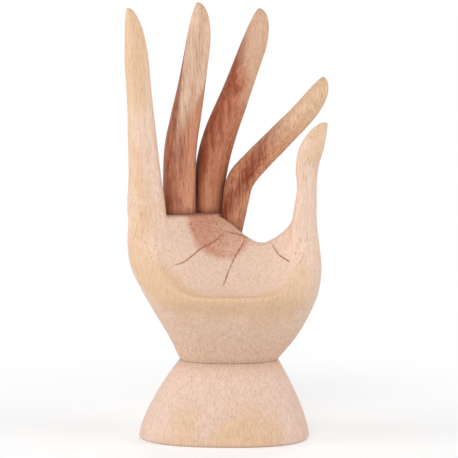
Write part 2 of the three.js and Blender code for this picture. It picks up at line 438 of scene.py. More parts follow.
class Carved(ABC):
    """A carved piece for one CAD node, labelled with one of the record's slots."""

    node: str
    wood: "WoodFinish"
    slot: ClassVar[Slot]

    @abstractmethod
    def form(self, material: Material) -> Mesh:
        """Makes the piece's mesh in its finish, in millimetres."""

    def build(self) -> Object:
        """Makes the piece and ties it to the frame.

        Returns:
            The piece, in metres and riding on its body.
        """
        name = f"carved_{self.node}"
        mesh = self.form(self.wood.material())
        mesh.transform(Matrix.Scale(MM, 4))
        mesh.name = name
        piece = placed(name, mesh)
        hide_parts(self.node)
        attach(piece, BODY)
        log.info("%s: %d faces", name, len(mesh.polygons))
        return piece


# Limbs


@dataclass(frozen=True)
class Station:
    """A limb's section: its middle, its size across and front to back, and how it is turned."""

    x: float
    y: float
    z: float
    across: float
    deep: float
    turn: float = 0.0


# Steps of the path between stations, and how much the rings crowd towards both ends.
PATH_STEPS = 24
RING_CROWDING = 0.75
# The shares of its length by which a limb leans with its path, and is sunk where it is grown.
LEANS_BY = 0.12
SUNK_BY = 0.02
WELD = 0.002
SWAY_WAVES = 0.05


@cache
def limb_tree() -> Tree:
    """Makes the tree that skins rounded-square sections along a smooth path.

    The path is a chain of vertices with each section's size across, size front to back and turn
    in the attribute "girth". The root is flat with an eased edge, and the tip narrows towards the
    nail side. The rings crowd towards both ends.

    Returns:
        The tree.
    """
    shape = ("bow", "tip", "tip_bow", "nail_x", "nail_y", "root_edge", "follow", "grow")
    inputs = {"Int": ("rings", "sides"), "Float": (*shape, "wobble", "seed")}
    g = GeometryGraph("limb_along_a_path", inputs)
    given = g.given
    rings, bow, tip_bow = given["rings"], given["bow"], given["tip_bow"]
    root_edge, grow = given["root_edge"], given["grow"]
    here = g.out("GeometryNodeInputPosition")
    chain = g.out("GeometryNodeMeshToCurve", {"Mesh": given["Geometry"]})
    path = g.out("GeometryNodeCurveSplineType", {"Curve": chain}, spline_type="CATMULL_ROM")
    path = g.out("GeometryNodeSetSplineResolution", {0: path, "Resolution": PATH_STEPS})
    length = g.out("GeometryNodeCurveLength", {0: path})

    grid = {"Vertices X": rings, "Vertices Y": given["sides"] + 1}
    sheet = g.out("GeometryNodeMeshGrid", {"Size X": 1.0, "Size Y": 1.0} | grid, "Mesh")
    sheet_x, sheet_y, _ = g.split(here)
    row = sheet_x + 0.5
    around = (sheet_y + 0.5) * math.tau
    step = 1.0 / (rings - 1)
    on_skin = g.math("GREATER_THAN", row, step * 0.5)
    even = g.larger((row - step) / (1.0 - step), 0.0)
    crowding = g.math("SINE", even * math.tau) * (RING_CROWDING / math.tau)
    share = g.smaller(g.larger(even - crowding, 0.0), 1.0)

    reading = {"Curves": path, "Value": g.attribute("girth"), "Factor": share}
    kind = {"mode": "FACTOR", "data_type": "FLOAT_VECTOR"}
    sample = g.add("GeometryNodeSampleCurve", reading, **kind).outputs
    across, deep, turn = g.split(Wire(g, sample["Value"]))

    left = (1.0 - share) * length / given["tip"]
    gone = 1.0 - g.smaller(left, 1.0)
    shrink = g.larger(1.0 - gone**tip_bow, 0.0) ** (1.0 / tip_bow)

    near_root = g.larger(1.0 - share * length / root_edge, 0.0)
    arc = g.math("SQRT", 1.0 - near_root * near_root)
    margin = grow - root_edge * (1.0 - arc)

    cosine, sine = g.math("COSINE", around), g.math("SINE", around)
    spread = g.math("ABSOLUTE", cosine) ** bow + g.math("ABSOLUTE", sine) ** bow
    reach = spread ** (-1.0 / bow)
    plain_x = (across * 0.5 + margin) * reach * cosine
    plain_y = (deep * 0.5 + margin) * reach * sine
    turn_cos, turn_sin = g.math("COSINE", turn), g.math("SINE", turn)
    turned_x = plain_x * turn_cos - plain_y * turn_sin
    turned_y = plain_x * turn_sin + plain_y * turn_cos
    nail_x = given["nail_x"] * across
    nail_y = given["nail_y"] * deep
    local_x = ((turned_x - nail_x) * shrink + nail_x) * on_skin
    local_y = ((turned_y - nail_y) * shrink + nail_y) * on_skin

    lean = g.ramp(share, 0.0, LEANS_BY) * given["follow"]
    along = g.vector("NORMALIZE", (Wire(g, sample["Tangent"]) - UP) * lean + UP)
    _, along_y, _ = g.split(along)
    back = g.vector("NORMALIZE", BACK - along * along_y)
    right = g.vector("CROSS_PRODUCT", back, along)
    sunk = grow * g.ramp(share, SUNK_BY, 0.0, 0.0, -1.0)
    offset = right * local_x + back * local_y
    place = Wire(g, sample["Position"]) + offset + g.combined(0.0, 0.0, sunk)

    skin = g.moved(sheet, Position=place)
    closed = g.out("GeometryNodeMergeByDistance", {"Geometry": skin, "Distance": WELD})
    outward = g.out("GeometryNodeFlipFaces", {0: closed})

    waves = {"Vector": here, "Scale": SWAY_WAVES, "Detail": 1.0, "W": given["seed"]}
    noise = g.out("ShaderNodeTexNoise", waves, noise_dimensions="4D")
    sway = (noise - 0.5) * given["wobble"] * 2.0
    return g.finish(g.moved(outward, Offset=g.out("GeometryNodeInputNormal") * sway))


@dataclass
class Limb:
    """A finger, a thumb or another form that tapers along a path.

    The pad is the direction that the tip's pad faces, in degrees from straight ahead (-Y) towards
    the thumb (+X). Sections stand square to the path where follow is 1, and level where it is 0.
    The tree that skins limbs has inputs of the same names.
    """

    stations: Sequence[Station]
    origin: Vector = field(default_factory=Vector)
    tip: float = 20.0
    tip_bow: float = 2.2
    tip_offset: float = 0.36
    pad: float = 0.0
    bow: float = 2.6
    root_edge: float = 0.7
    follow: float = 1.0
    rings: int = 120
    sides: int = 64
    wobble: float = 0.0
    seed: float = 0.0

    def path(self) -> Mesh:
        """Makes the chain of vertices that carries the sections.

        Returns:
            The chain, with the attribute "girth".
        """
        chain = bpy.data.meshes.new("path")
        places = [self.origin + Vector((s.x, s.y, s.z)) for s in self.stations]
        chain.from_pydata(places, [(i, i + 1) for i in range(len(places) - 1)], [])
        girth = chain.attributes.new("girth", "FLOAT_VECTOR", "POINT")
        for i, s in enumerate(self.stations):
            girth.data[i].vector = (s.across, s.deep, math.radians(s.turn))
        return chain

    def mesh(self, material: Material | None = None, grow: float = 0.0) -> Mesh:
        """Skins the limb.

        Args:
            material: the finish to wear.
            grow: how much larger it is all round than its sections say.

        Returns:
            The mesh, in millimetres.
        """
        ahead = math.radians(self.pad)
        inputs = vars(self) | {
            "nail_x": -math.sin(ahead) * self.tip_offset,
            "nail_y": math.cos(ahead) * self.tip_offset,
            "grow": grow,
            "Material": material,
        }
        return run_tree(self.path(), limb_tree(), inputs)


# Finishes


def colour(red: int, green: int, blue: int) -> Colour:
    """Turns a colour on the screen's scale into the linear one that shaders take.

    Args:
        red: its red, from 0 to 255.
        green: its green.
        blue: its blue.

    Returns:
        The colour, opaque.
    """
    parts = [part / 255 for part in (red, green, blue)]
    linear = [p / 12.92 if p <= 0.04045 else ((p + 0.055) / 1.055) ** 2.4 for p in parts]
    return linear[0], linear[1], linear[2], 1.0


@dataclass(frozen=True)
class Texture:
    """A stretched noise.

    It has its waves per millimetre along each axis, its finer layers and how rough they make it.
    Its spread is where a smooth step through it starts and ends, and the values there.
    """

    waves: Triple
    detail: float = 2.0
    spread: Sequence[float] = ()
    rough: float = 0.55


@dataclass(frozen=True)
class Knot:
    """The mark of a small branch: its place and its half width."""

    place: Triple
    size: float


@dataclass(frozen=True)
class WoodFinish:
    """Sanded wood, coloured through the solid: pale sapwood round a red-brown heart.

    The heart is an oval column round the pith, which leans as it rises. Its reach is given to the
    left, right, front and back. The sapwood turns yellow towards the rind, which is nearer to the
    left, right or front by its factors. The heart is darkest along a leaning core and the sapwood
    along a leaning stripe: its place across at the level, its lean and its half width.
    """

    name: str
    reach: tuple[float, float, float, float]
    pith: tuple[float, float] = (-4.0, 8.0)
    lean: tuple[float, float] = (0.0, 0.18)
    level: float = 104.0
    upright_below: float = -1000.0
    taper: float = 0.012
    drift: float = 3.0
    fade: float = 0.2
    ragged: float = 0.12
    rind: Triple = (0.72, 0.52, 1.28)
    rind_from: float = 42.0
    rind_to: float = 52.0
    core: Triple | None = None
    # Height round which the sapwood gets painted shade, under the overhang and on the heel.
    joint: float | None = None
    knot: Knot | None = None
    vein: Triple | None = None
    pink: Colour = colour(238, 211, 192)
    yellow: Colour = colour(229, 195, 160)
    shade: Colour = colour(212, 172, 142)
    heart_light: Colour = colour(196, 130, 98)
    heart_dark: Colour = colour(136, 70, 46)
    pore: Colour = colour(134, 86, 58)
    groove: Colour = colour(158, 108, 74)
    # Painted shade where the wood lies close to another piece: its strength and its colour.
    contact_shade: float = 0.2
    stain: Colour = colour(96, 54, 34)

    def material(self) -> Material:
        """Makes the finish as a material on Object coordinates.

        Returns:
            The new material.
        """
        material = bpy.data.materials.new(self.name)
        WoodGraph(self, material).finish()
        return material


class WoodGraph(ShaderGraph):
    """The shader tree of a wood finish."""

    DRIFT = Texture((0.03, 0.03, 0.012), 1.0)
    EDGE = Texture((0.22, 0.22, 0.035), 3.0)
    FIBRE = Texture((0.8, 0.8, 0.05), 3.0, (0.34, 0.68))
    FINE = Texture((1.5, 1.5, 0.13), 3.0, (0.36, 0.68))
    BLOTCH = Texture((0.06, 0.06, 0.045))
    PATCH = Texture((0.2, 0.2, 0.06))
    CROWD = Texture((0.09, 0.09, 0.05), 1.0, (0.4, 0.65, 0.4, 1.0))
    PORE = Texture((2.0, 2.0, 0.3), 0.0)
    PORE_SPREAD = (0.66, 0.76)
    CUT = Texture((0.5, 0.5, 0.5), 2.0, (0.35, 0.6, 0.4, 0.9))
    # Shares of the fibres, the fine fibres and the late wood in the dark streaks.
    SAP_STREAKS = (0.28, 0.34, 0.06)
    HEART_STREAKS = (0.3, 0.4, 0.2)
    # The growth rings' turn per millimetre, their unevenness, sharpness and share of the lean.
    RING_TURN, RING_DRIFT, RING_POWER, RING_LEAN = 1.7, 5.0, 4.0, 0.75
    # How far the rind's edge wanders, in millimetres.
    RIND_DRIFT = 22.0
    # Painted shade round the wrist joint: how fast it fades upwards, how far down and how dark.
    JOINT_FADE, JOINT_REACH, JOINT_SHADE = 0.26, 10.0, 0.32
    # How dark the sap stripe is, the core beside and within it, and the patches in the heart.
    VEIN_SHADE, CORE_SHADES, PATCH_SHADE = 0.26, (-0.2, 0.5), 0.9
    # The knot's stretch, and its swirl, halo, ring and eye by the distance in half widths.
    KNOT_SHAPE = (1.0, 0.5, 0.6)
    KNOT_SWIRL = (2.6, 0.3, 0.0, 1.1)
    KNOT_HALO = (3.4, 1.0, 0.0, 0.8)
    KNOT_RING = (0.5, 0.0)
    KNOT_EYE = (0.5, 0.1)
    KNOT_SHADE = 0.45
    # How much denser and darker the pores are in the heart, and how dark they are outside it.
    PORE_DENSER, PORE_DARKER, PORE_SHADE = 0.06, 0.25, 0.38
    # How sharply the painted shade between pieces rises as they close in.
    SOIL_POWER = 1.5
    BUMP_STRENGTH, BUMP_DISTANCE, BUMP_FIBRE = 0.25, 0.00012, -0.4
    ROUGH, ROUGH_FIBRE, SHINE = 0.52, 0.1, 0.3

    def __init__(self, wood: WoodFinish, material: Material) -> None:
        """Starts on a finish's material, with what the tree's parts share.

        Args:
            wood: the finish.
            material: the material to fill.
        """
        super().__init__(material)
        self.wood = wood
        self.place = self.out("ShaderNodeTexCoord", output="Object") * (1 / MM)
        swirl = self.texture(self.place, self.DRIFT, 1) - (0.5, 0.5, 0.5)
        self.drifted = self.place + swirl * wood.drift
        self.grain = self.drifted
        if wood.knot is not None:
            away = (self.place - wood.knot.place) * self.KNOT_SHAPE
            self.from_knot = self.vector("LENGTH", away) / wood.knot.size
            angle = self.ramp(self.from_knot, *self.KNOT_SWIRL)
            turn = {"Vector": self.drifted, "Center": wood.knot.place, "Angle": angle}
            self.grain = self.out("ShaderNodeVectorRotate", turn, rotation_type="Y_AXIS")
        self.heart = self.heart_share()

        self.x, y, self.z = self.split(self.grain)
        up = self.larger(self.z, wood.upright_below) - wood.level
        self.off_x = self.x - wood.pith[0]
        self.off_y = y - wood.pith[1] - up * (wood.lean[1] * self.RING_LEAN)
        self.fibre = self.texture(self.grain, self.FIBRE)
        self.fine = self.texture(self.grain, self.FINE)
        self.blotch = self.texture(self.place, self.BLOTCH)
        radius = self.distance(self.off_x, self.off_y)
        rings = self.math("SINE", radius * self.RING_TURN + self.blotch * self.RING_DRIFT)
        self.late = (rings * 0.5 + 0.5) ** self.RING_POWER

    def texture(self, place: Wire, texture: Texture, output: int = 0) -> Wire:
        """Reads a texture.

        Args:
            place: where to read it, in millimetres.
            texture: the texture.
            output: 0 for its number, 1 for its three numbers.

        Returns:
            What it holds there.
        """
        inputs = {"Vector": place * texture.waves, "Scale": 1.0, "Detail": texture.detail}
        noise = self.out("ShaderNodeTexNoise", inputs | {"Roughness": texture.rough}, output)
        return self.ramp(noise, *texture.spread) if texture.spread else noise

    def heart_share(self) -> Wire:
        """Tells the heart from the sapwood.

        Returns:
            How far a place is in the heart: 1 in the heart, 0 in the sapwood.
        """
        wood = self.wood
        x, y, z = self.split(self.drifted)
        up = self.larger(z, wood.upright_below) - wood.level
        off_x = x - wood.pith[0] - up * wood.lean[0]
        off_y = y - wood.pith[1] - up * wood.lean[1]
        left, right, front, back = wood.reach
        share_x = self.larger(off_x * (1 / right), off_x * (-1 / left))
        share_y = self.larger(off_y * (1 / back), off_y * (-1 / front))
        edge = (self.texture(self.place, self.EDGE) - 0.5) * (wood.ragged * 2)
        below = self.larger(wood.upright_below - z, 0.0)
        share = self.distance(share_x, share_y) + edge + below * wood.taper
        heart = self.ramp(share, 1.0 + wood.fade, 1.0 - wood.fade)
        if wood.knot is not None:
            heart = self.larger(heart, self.ramp(self.from_knot, *self.KNOT_HALO))
        return heart

    def streaks(self, shares: Triple) -> Wire:
        """Gives the dark streaks, by the share of each texture in them."""
        return self.fibre * shares[0] + self.fine * shares[1] + self.late * shares[2]

    def stripe(self, line: Triple, beside: float, within: float) -> Wire:
        """Gives a value that changes from beside a leaning line to within it.

        Args:
            line: its place across at the wood's level, its lean and its half width.
            beside: the value beside it.
            within: the value in its middle.

        Returns:
            The value at each place.
        """
        middle, slant, half = line
        away = self.x - ((self.z - self.wood.level) * slant + middle)
        return self.ramp(self.math("ABSOLUTE", away), half, 0.0, beside, within)

    def sapwood(self) -> Wire:
        """Works out the sapwood: pink, and yellow towards the rind, with darker streaks and
        painted shade round the wrist joint.

        Returns:
            Its colour.
        """
        wood = self.wood
        to_left, to_right, to_front = wood.rind
        across = self.larger(self.off_x * to_right, self.off_x * -to_left)
        spread = self.distance(across, self.off_y * to_front)
        spread = spread + (self.blotch - 0.5) * self.RIND_DRIFT
        sap = self.mix(self.ramp(spread, wood.rind_from, wood.rind_to), wood.pink, wood.yellow)
        dark = self.streaks(self.SAP_STREAKS)
        # Painted shade: darkest just under the palm's overhang, fading up over the heel.
        if wood.joint is not None:
            above = self.z - wood.joint
            gap = self.larger(above * self.JOINT_FADE, above * -1.0)
            dark = dark + self.ramp(gap, 0.0, self.JOINT_REACH, self.JOINT_SHADE, 0.0)
        if wood.vein is not None:
            dark = dark + self.stripe(wood.vein, 0.0, self.VEIN_SHADE)
        return self.mix(dark, sap, wood.shade)

    def heartwood(self) -> Wire:
        """Works out the heart, with its streaks, its core and its knot.

        Returns:
            Its colour.
        """
        wood = self.wood
        dark = self.streaks(self.HEART_STREAKS)
        if wood.core is not None:
            patches = self.texture(self.grain, self.PATCH) - 0.5
            dark = dark + (patches * self.PATCH_SHADE + self.stripe(wood.core, *self.CORE_SHADES))
        if wood.knot is not None:
            ring = self.ramp(self.math("ABSOLUTE", self.from_knot - 1.0), *self.KNOT_RING)
            mark = self.larger(ring, self.ramp(self.from_knot, *self.KNOT_EYE))
            dark = dark + mark * self.KNOT_SHADE
        return self.mix(dark, wood.heart_light, wood.heart_dark)

    def pores(self) -> Wire:
        """Gives the pores: 1 in an open one, 0 between them."""
        dots = self.heart * self.PORE_DENSER + self.texture(self.grain, self.PORE)
        return self.ramp(dots, *self.PORE_SPREAD) * self.texture(self.place, self.CROWD)

    def mark(self, name: str) -> Wire:
        """Gives a number that the mesh's vertices carry."""
        return self.out("ShaderNodeAttribute", output="Fac", attribute_name=name)

    def finish(self) -> None:
        """Lays the colours over each other and ends the tree."""
        wood = self.wood
        tint = self.mix(self.heart, self.sapwood(), self.heartwood())
        pores = self.pores()
        shade = self.heart * self.PORE_DARKER + self.PORE_SHADE
        tint = self.mix(pores * shade, tint, wood.pore)
        # Painted shade where the wood lies close to another piece.
        tint = self.mix(self.mark("contact_shade") ** self.SOIL_POWER * wood.contact_shade, tint, wood.stain)
        cut = self.mark("line") * self.texture(self.place, self.CUT)
        tint = self.mix(cut, tint, wood.groove)
        depth = {"Strength": self.BUMP_STRENGTH, "Distance": self.BUMP_DISTANCE}
        bump = self.out("ShaderNodeBump", depth | {"Height": self.fine * self.BUMP_FIBRE - pores})
        rough = self.fibre * self.ROUGH_FIBRE + self.ROUGH
        surface = {"Base Color": tint, "Roughness": rough, "Normal": bump}
        shader = self.out("ShaderNodeBsdfPrincipled", surface | {"Specular IOR Level": self.SHINE})
        self.add("ShaderNodeOutputMaterial", {"Surface": shader})


PALM_WOOD = WoodFinish(
    "sapwood_round_a_heart",
    pith=(0.0, 8.0),
    reach=(28.0, 19.5, 20.5, 14.0),
    upright_below=104.0,
    fade=0.1,
    core=(-11.0, 0.0, 17.0),
    ragged=0.08,
    joint=42.0,
    heart_light=colour(224, 179, 156),
    heart_dark=colour(202, 142, 116),
)
FOOT_WOOD = replace(
    PALM_WOOD, name="sapwood_foot", pink=colour(232, 204, 188), shade=colour(205, 165, 138)
)
RING_WOOD = WoodFinish(
    "heartwood_ring_finger",
    contact_shade=0.75,
    pith=(-24.0, 30.4),
    reach=(120.0, 45.0, 28.0, 30.0),
    lean=(0.0, 0.065),
    level=170.0,
    drift=1.5,
    fade=0.03,
    ragged=0.03,
    core=(-25.0, 0.1, 12.0),
    vein=(-16.8, 0.11, 4.0),
    heart_light=colour(210, 148, 116),
    heart_dark=colour(152, 86, 60),
    pink=colour(236, 205, 179),
    yellow=colour(224, 188, 158),
    shade=colour(184, 134, 102),
)
MIDDLE_WOOD = WoodFinish(
    "heartwood_middle_finger",
    contact_shade=0.75,
    reach=(60.0, 14.6, 60.0, 60.0),
    lean=(-0.04, 0.0),
    level=181.0,
    fade=0.3,
    core=(1.2, 0.4, 9.0),
    knot=Knot((7.9, 4.0, 188.8), 2.6),
    heart_light=colour(206, 140, 106),
    heart_dark=colour(154, 76, 48),
    pink=colour(220, 182, 154),
    yellow=colour(220, 184, 152),
    shade=colour(188, 140, 108),
)
INDEX_WOOD = WoodFinish(
    "heartwood_index_finger",
    contact_shade=0.3,
    pith=(-173.0, 8.0),
    reach=(1000.0, 200.0, 400.0, 400.0),
    lean=(-5.0, 0.0),
    level=162.0,
    fade=0.43,
    core=(25.4, 0.62, 8.6),
    heart_light=colour(214, 155, 118),
    heart_dark=colour(140, 64, 36),
    pink=colour(200, 158, 122),
    yellow=colour(234, 201, 168),
    shade=colour(178, 130, 94),
)
DOWEL_WOOD = WoodFinish("beech_dowel", reach=(1.0, 1.0, 1.0, 1.0), pith=(0.0, 200.0))


# Pedestal


@dataclass
class Pedestal(Carved):
    """The flared oval foot, up to the wrist joint."""

    node: str = "pedestal"
    wood: WoodFinish = FOOT_WOOD
    slot: ClassVar[Slot] = Slot.PALE
    width: float = 91.0
    depth: float = 65.0
    height: float = 42.0
    flare: float = 1.45
    turn: float = -4.0
    foot: float = 1.6
    lip: float = 0.25
    lip_bow: float = 5.0
    wrist_width: float = 52.0
    wrist_depth: float = 34.0
    wrist_shift: float = 2.6
    bow: float = 2.4
    steps: int = 9

    def station(self, share: float) -> Station:
        """Gives a level section of the pedestal.

        Args:
            share: its share of the height, from the foot up.

        Returns:
            The section.
        """
        spread = 1 - share**self.flare
        return Station(
            self.wrist_shift * (1 - spread),
            0.0,
            self.height * share,
            self.wrist_width + (self.width - self.wrist_width) * spread,
            self.wrist_depth + (self.depth - self.wrist_depth) * spread,
            self.turn * spread,
        )

    def form(self, material: Material) -> Mesh:
        """Makes the pedestal's mesh from its level sections.

        Args:
            material: the finish to wear.

        Returns:
            The mesh, in millimetres.
        """
        limb = Limb(
            [self.station(i / self.steps) for i in range(self.steps + 1)],
            tip=self.lip,
            tip_bow=self.lip_bow,
            tip_offset=0.0,
            bow=self.bow,
            root_edge=self.foot,
            follow=0.0,
            rings=90,
            sides=144,
        )
        return limb.mesh(material)


# Inner fingers

FINGER_WOBBLE = 0.35
# A knuckle's lower sections: how far ahead, and their shares of the root's size each way.
KNUCKLE_END = (3.0, 0.9, 0.7)
KNUCKLE_MIDDLE = (0.6, 1.02, 0.95)


@dataclass
class InnerFinger(Carved):
    """One of the three fingers that are set into the palm's rim on dowels."""

    node: str
    limb: Limb
    wood: WoodFinish
    slot: ClassVar[Slot] = Slot.HEART

    def section(self, down: float, ahead: float, across: float, deep: float) -> Station:
        """Gives a section like the root's.

        Args:
            down: how far below the root it is.
            ahead: how far ahead of the root it is.
            across: its share of the root's size across.
            deep: its share of the root's size front to back.

        Returns:
            The section.
        """
        root = self.limb.stations[0]
        place = {"y": root.y - ahead, "z": root.z - down}
        return replace(root, across=root.across * across, deep=root.deep * deep, **place)

    def knuckle(self, below: float) -> Limb:
        """Gives the form that carries the finger's own section down into the palm.

        Args:
            below: how far down it goes.

        Returns:
            The form.
        """
        end = self.section(below, *KNUCKLE_END)
        halfway = self.section(below / 2, *KNUCKLE_MIDDLE)
        return Limb(
            [end, halfway, self.limb.stations[0]],
            self.limb.origin,
            tip=0.8,
            tip_bow=4.0,
            tip_offset=0.0,
            bow=self.limb.bow,
            rings=40,
            sides=40,
        )

    def form(self, material: Material) -> Mesh:
        """Makes the finger's mesh."""
        return self.limb.mesh(material)


def inner_fingers(rim: float) -> list[InnerFinger]:
    """Gives the inner fingers in their seats on the palm's rim.

    Args:
        rim: the rim's height.

    Returns:
        The fingers, from the ring finger towards the thumb.
    """
    ring = Limb(
        [
            Station(0, 0, 0, 17, 15.4, 10),
            Station(0.5, 1.6, 32, 17.2, 15, 10),
            Station(3.6, 1.6, 52, 15.6, 13.8, 10),
            Station(8.1, 0, 77, 13.6, 12.2, 10),
            Station(13.4, -5, 112.4, 11.4, 9.6, 10),
        ],
        Vector((-23.9, 7.7, rim - 1.0)),
        tip=24,
        pad=55,
        bow=2.8,
        wobble=FINGER_WOBBLE,
        seed=1.0,
    )
    middle = Limb(
        [
            Station(-0.3, 3.6, 0, 13.1, 13.3, 32),
            Station(1.1, 4.8, 22, 15.6, 15.6, 34),
            Station(5.7, 3, 41.5, 16.2, 14.8, 30),
            Station(14.2, 2, 64, 14.4, 13, 26),
            Station(23.4, -0.5, 89, 12.6, 12, 24),
            Station(30.2, -3.5, 108.4, 11.4, 10.4, 24),
        ],
        Vector((-8.2, 10.8, rim - 1.0)),
        tip=21,
        pad=55,
        bow=2.9,
        wobble=FINGER_WOBBLE,
        seed=2.0,
    )
    index = Limb(
        [
            Station(-1, 0.3, -4.5, 9.6, 10.8, 34.5),
            Station(1.6, -0.1, 15, 12.2, 12.3, 42.3),
            Station(4.5, 1.2, 27, 12.7, 13.6, 35.2),
            Station(13, 0.5, 37.4, 12.8, 13, 20),
            Station(24.8, -3, 49.8, 12.2, 12.4, 20),
            Station(38, -7.5, 63.8, 11.6, 11.4, 20),
            Station(50.6, -12, 80.4, 10.4, 9.8, 20),
        ],
        Vector((4.3, 9.7, rim - 9.5)),
        tip=18,
        pad=60,
        bow=2.9,
        wobble=FINGER_WOBBLE,
        seed=3.0,
    )
    return [
        InnerFinger("ring_finger", ring, RING_WOOD),
        InnerFinger("middle_finger", middle, MIDDLE_WOOD),
        InnerFinger("index_finger", index, INDEX_WOOD),
    ]


# Palm

# Where knife lines are cast from, and their steps between points.
LINE_FRONT = -200.0
LINE_STEPS = 24
# A line's share of its depth at its ends, and how fast it deepens and darkens from there.
LINE_START, LINE_ENTRY, LINE_DARK = 0.15, 8.0, 1.6
# How far from a line faces are split, in turn, and how far those with many corners are mended.
LINE_SPLIT = (2.4, 1.7)
LINE_MENDED = 4.0


@dataclass(frozen=True)
class Crease:
    """A line cut into the palm with a knife, by its places across and up seen from the front."""

    points: Sequence[tuple[float, float]]
    width: float = 1.2
    depth: float = 0.5
    dark: float = 1.0

    def marks(self, skin: BVHTree) -> Iterator[tuple[Vector, float]]:
        """Follows the line over a skin.

        Args:
            skin: the skin that it is cut into.

        Yields:
            Places along it, with the share of its depth at each.
        """
        across = [(float(i), x) for i, (x, _) in enumerate(self.points)]
        up = [(float(i), z) for i, (_, z) in enumerate(self.points)]
        count = LINE_STEPS * (len(self.points) - 1)
        for i in range(count + 1):
            at = i / LINE_STEPS
            ahead = Vector((smooth_value(across, at), LINE_FRONT, smooth_value(up, at)))
            hit = skin.ray_cast(ahead, Vector(BACK))[0]
            if hit is not None:
                yield hit, min(1.0, LINE_START + LINE_ENTRY * min(i, count - i) / count)


PALM_LINES = (
    Crease(
        ((-26.5, 95.0), (-21.9, 95.7), (-17.4, 98.2), (-13.7, 101.0))
        + ((-10.5, 103.0), (-6.1, 104.9), (-2.3, 107.8), (0.6, 110.5))
    ),
    Crease(((0.6, 110.5), (4.1, 109.6), (7.9, 108.8), (11.7, 107.5), (13.0, 107.3))),
    Crease(
        ((11.7, 107.3), (9.8, 103.8), (6.6, 99.1), (4.4, 95.1))
        + ((2.2, 90.5), (0.9, 87.1), (-0.6, 83.7))
    ),
    Crease(((25.1, 104.8), (26.9, 102.1), (29.3, 99.2), (32.4, 97.5), (34.5, 96.4))),
    Crease(((41.9, 101.0), (39.9, 97.5), (37.7, 94.6)), depth=0.25, dark=0.5),
)


def score(mesh: Mesh, creases: Sequence[Crease]) -> None:
    """Cuts knife lines into a mesh, with finer faces along them.

    How deep in a line each vertex is goes into the attribute "line", which darkens the finish.

    Args:
        mesh: the mesh, in millimetres.
        creases: the lines.
    """
    with reworked(mesh) as form:
        skin = BVHTree.FromBMesh(form)
        marks = [(*mark, crease) for crease in creases for mark in crease.marks(skin)]
        tree = KDTree(len(marks))
        for i, (place, _, _) in enumerate(marks):
            tree.insert(place, i)
        tree.balance()
        for reach in LINE_SPLIT:
            near = {v for v in form.verts if tree.find(v.co)[2] < reach}
            edges = [e for e in form.edges if e.verts[0] in near and e.verts[1] in near]
            bmesh.ops.subdivide_edges(form, edges=edges, cuts=1, use_grid_fill=True)
        around = [v for v in form.verts if tree.find(v.co)[2] < LINE_MENDED]
        split = {f for v in around for f in v.link_faces if len(f.verts) > 4}
        bmesh.ops.triangulate(form, faces=list(split))
        form.normal_update()
        line = form.verts.layers.float.new("line")
        for vertex in form.verts:
            _, i, gap = tree.find(vertex.co)
            _, taper, crease = marks[i]
            if gap < crease.width / 2:
                share = (1 - 2 * gap / crease.width) * taper
                vertex[line] = crease.dark * min(1.0, LINE_DARK * share)
                vertex.co -= vertex.normal * crease.depth * share
        form.normal_update()


FORMS = ("Hull", "Cup", "Web", "Little Finger", "Thumb", "Knuckles", "Seats")
BLENDS = {
    "Lip": 2.5,
    "Rim": 2.5,
    "Fillet": 11.0,
    "Edge Fillet": 3.0,
    "Thumb Fillet": 2.5,
    "Fillet From": 36.0,
    "Fillet To": 47.0,
    "Knuckle Fillet": 4.0,
    "Bevel": 7.5,
}
# The bevel along the web: its slant's cosine and sine, where it runs out and its eased edge.
BEVEL_SLANT = (0.96, 0.28)
BEVEL_FROM, BEVEL_TO = 18.0, 4.0
BEVEL_EASE = 0.8
# The little finger's fillet below the rim: from and to where it grows, from and to which share.
RIM_EASE = (1.0, 16.0, 0.2, 1.0)
# The field outside the box, and the passes that bring the skin onto the forms, with their stride.
OUTSIDE = -5.0
PASSES = 3
STRIDE = 1.0


